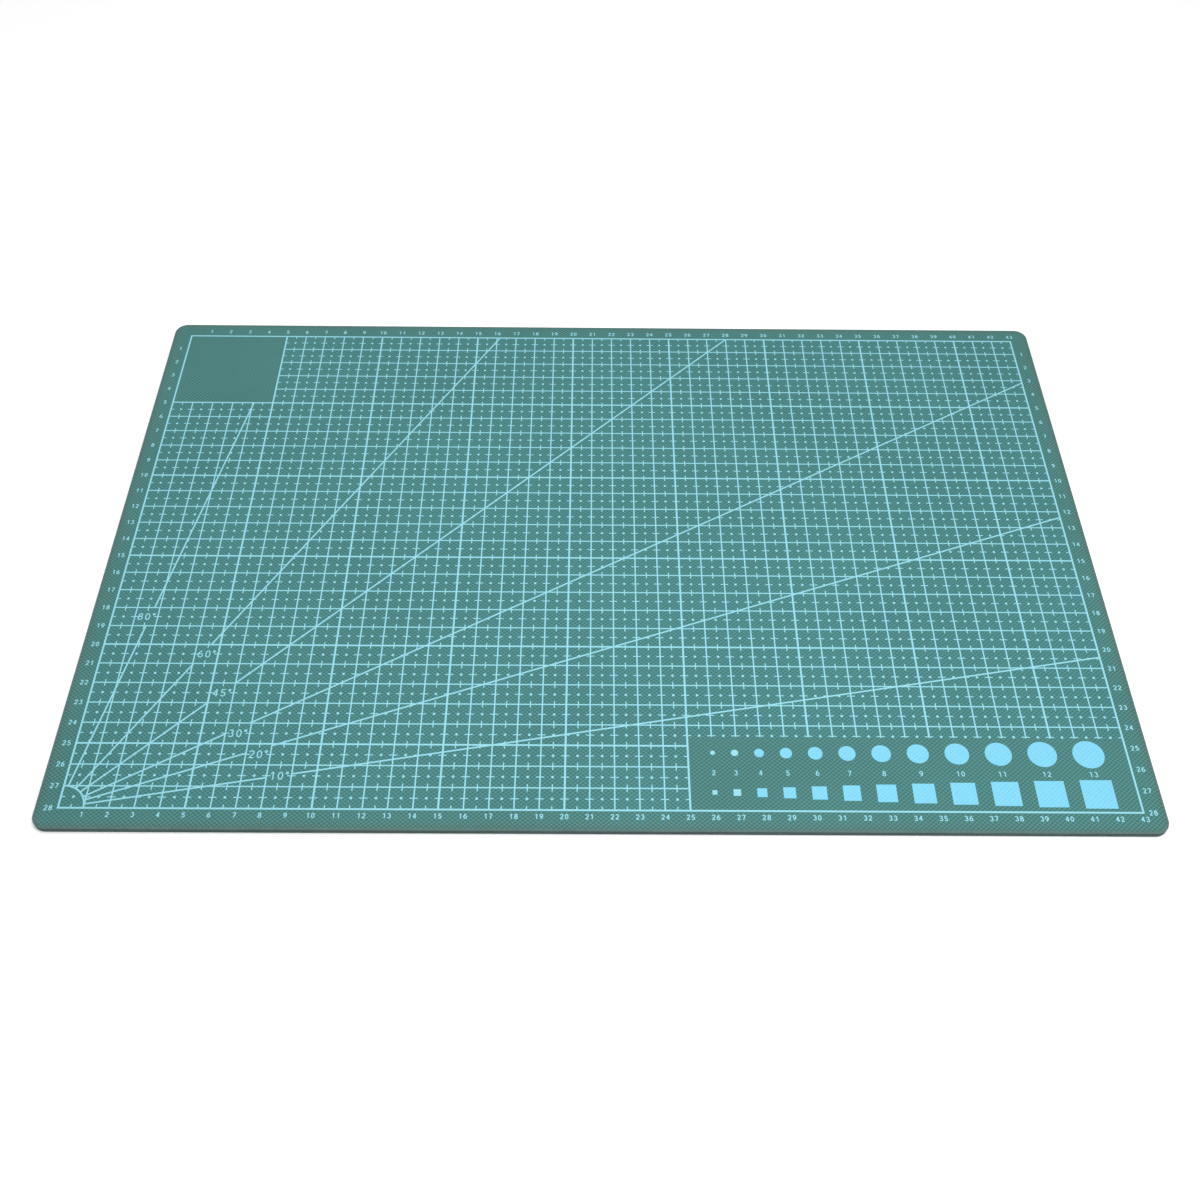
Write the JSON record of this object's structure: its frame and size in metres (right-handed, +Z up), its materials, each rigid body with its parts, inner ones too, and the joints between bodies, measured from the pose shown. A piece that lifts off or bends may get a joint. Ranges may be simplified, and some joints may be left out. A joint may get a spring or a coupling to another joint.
{
  "type": "self-healing cutting mat",
  "caption": "Flat rectangular laminated cutting mat with rounded corners and a printed centimetre grid, angle lines, and disc and square templates.",
  "frame": {"origin": "centre of the underside, on the surface that the mat lies on", "axes": "+X along the long side, to the right of a user in front of it; +Y away from the user; +Z up out of the working face"},
  "size_m": [0.4486, 0.2982, 0.003],
  "materials": {
    "vinyl_skin": "matt blue-green vinyl with a fine diagonal emboss",
    "healing_layer": "matt dark grey soft vinyl, seen only at the cut edge",
    "core_sheet": "matt grey rigid vinyl, seen only at the cut edge",
    "printing_ink": "thin pale blue screen-printing ink"
  },
  "bodies": {
    "root": {"bottom_skin": "vinyl_skin", "lower_healing_layer": "healing_layer", "rigid_core": "core_sheet", "upper_healing_layer": "healing_layer", "top_cutting_skin": "vinyl_skin", "border_lines": "printing_ink", "corner_arc": "printing_ink", "angle_line_10deg_inner": "printing_ink", "angle_line_10deg_outer": "printing_ink", "angle_line_20deg_inner": "printing_ink", "angle_line_20deg_outer": "printing_ink", "angle_line_30deg_inner": "printing_ink", "angle_line_30deg_outer": "printing_ink", "angle_line_45deg_inner": "printing_ink", "angle_line_45deg_outer": "printing_ink", "angle_line_60deg_inner": "printing_ink", "angle_line_60deg_outer": "printing_ink", "angle_line_80deg_inner": "printing_ink", "angle_line_80deg_outer": "printing_ink", "disc_template_02mm": "printing_ink", "disc_template_03mm": "printing_ink", "disc_template_04mm": "printing_ink", "disc_template_05mm": "printing_ink", "disc_template_06mm": "printing_ink", "disc_template_07mm": "printing_ink", "disc_template_08mm": "printing_ink", "disc_template_09mm": "printing_ink", "disc_template_10mm": "printing_ink", "disc_template_11mm": "printing_ink", "disc_template_12mm": "printing_ink", "disc_template_13mm": "printing_ink", "square_template_02mm": "printing_ink", "square_template_03mm": "printing_ink", "square_template_04mm": "printing_ink", "square_template_05mm": "printing_ink", "square_template_06mm": "printing_ink", "square_template_07mm": "printing_ink", "square_template_08mm": "printing_ink", "square_template_09mm": "printing_ink", "square_template_10mm": "printing_ink", "square_template_11mm": "printing_ink", "square_template_12mm": "printing_ink", "square_template_13mm": "printing_ink"}
  },
  "joints": []
}
